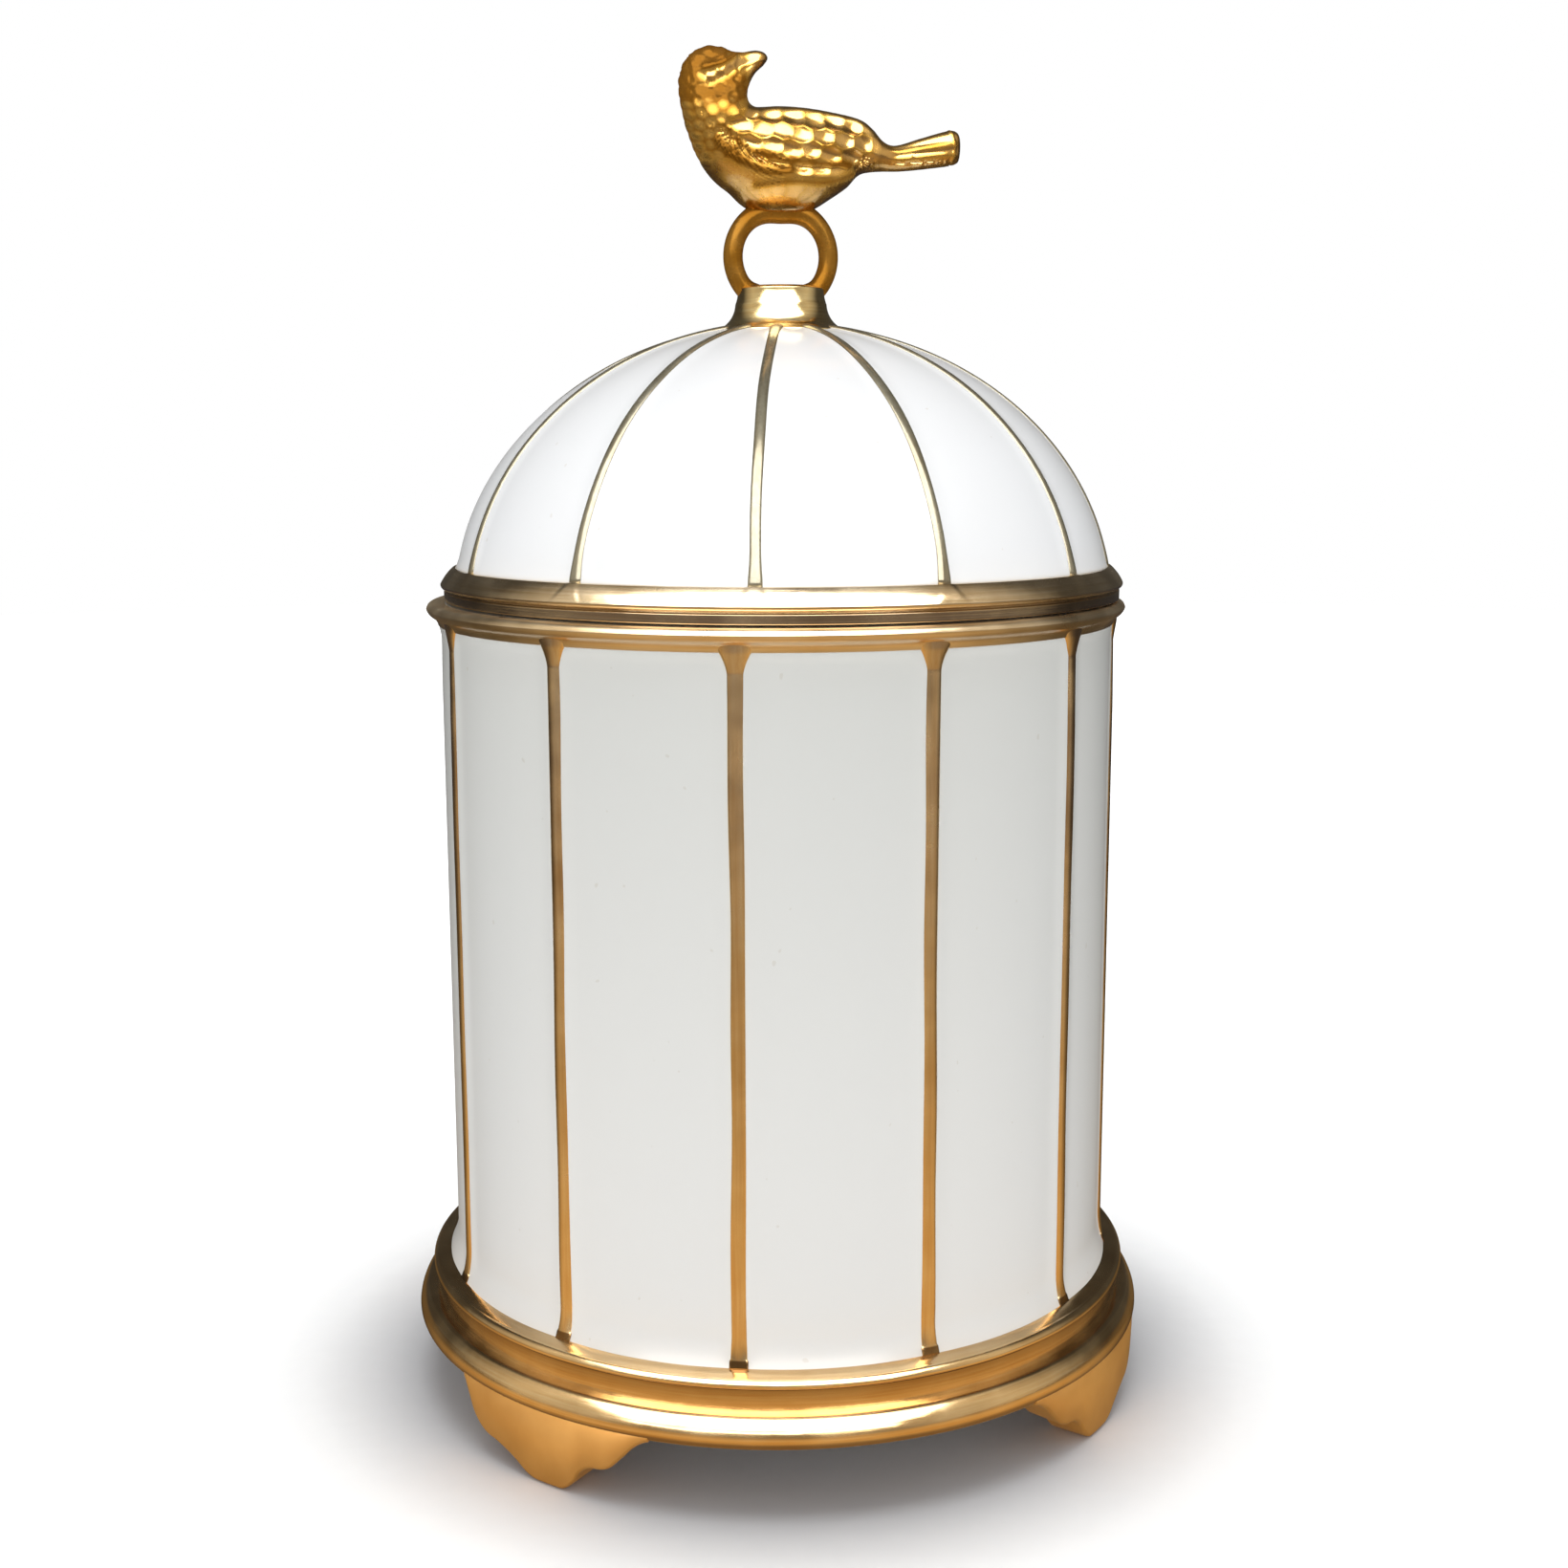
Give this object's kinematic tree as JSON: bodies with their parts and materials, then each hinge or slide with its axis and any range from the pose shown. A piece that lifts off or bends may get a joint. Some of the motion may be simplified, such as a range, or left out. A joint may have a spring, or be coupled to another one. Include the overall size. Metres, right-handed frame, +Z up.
{
  "type": "vanity trinket box",
  "caption": "Birdcage-shaped white porcelain jar with gilt ribs and mouldings, bracket feet and a lift-off domed lid topped by a bird on a ring.",
  "frame": {"origin": "on the floor, under the jar's axis", "axes": "+Z up; -Y is the front, the middle of a white panel between the two front feet; the finial's bird lies along X with its tail towards +X"},
  "size_m": [0.1126, 0.1124, 0.1993],
  "materials": {
    "porcelain": "glossy clear glaze over white slip-cast porcelain",
    "gold_lustre": "bright fired gold lustre on glazed porcelain",
    "finial_gilt": "bright gilt on cast metal",
    "fixing_brass": "plain machined brass"
  },
  "bodies": {
    "jar": {"jar_body": "porcelain", "rim_collar": "gold_lustre", "base_step": "gold_lustre", "base_torus": "gold_lustre", "body_rib_01": "gold_lustre", "body_rib_02": "gold_lustre", "body_rib_03": "gold_lustre", "body_rib_04": "gold_lustre", "body_rib_05": "gold_lustre", "body_rib_06": "gold_lustre", "body_rib_07": "gold_lustre", "body_rib_08": "gold_lustre", "body_rib_09": "gold_lustre", "body_rib_10": "gold_lustre", "body_rib_11": "gold_lustre", "body_rib_12": "gold_lustre", "foot_front_left": "gold_lustre", "foot_front_right": "gold_lustre", "foot_back_left": "gold_lustre", "foot_back_right": "gold_lustre"},
    "lid": {"dome_shell": "porcelain", "lid_band": "gold_lustre", "locating_flange": "porcelain", "dome_rib_01": "gold_lustre", "dome_rib_02": "gold_lustre", "dome_rib_03": "gold_lustre", "dome_rib_04": "gold_lustre", "dome_rib_05": "gold_lustre", "dome_rib_06": "gold_lustre", "dome_rib_07": "gold_lustre", "dome_rib_08": "gold_lustre", "dome_rib_09": "gold_lustre", "dome_rib_10": "gold_lustre", "dome_rib_11": "gold_lustre", "dome_rib_12": "gold_lustre", "finial_ferrule": "finial_gilt", "finial_ring": "finial_gilt", "finial_bird": "finial_gilt", "finial_stud": "fixing_brass", "finial_washer": "fixing_brass", "finial_nut": "fixing_brass"}
  },
  "joints": [
    {"name": "lid_lift", "type": "slide", "parent": "jar", "child": "lid", "axis": [0, 0, 1], "range_m": [0, 0.06]}
  ]
}
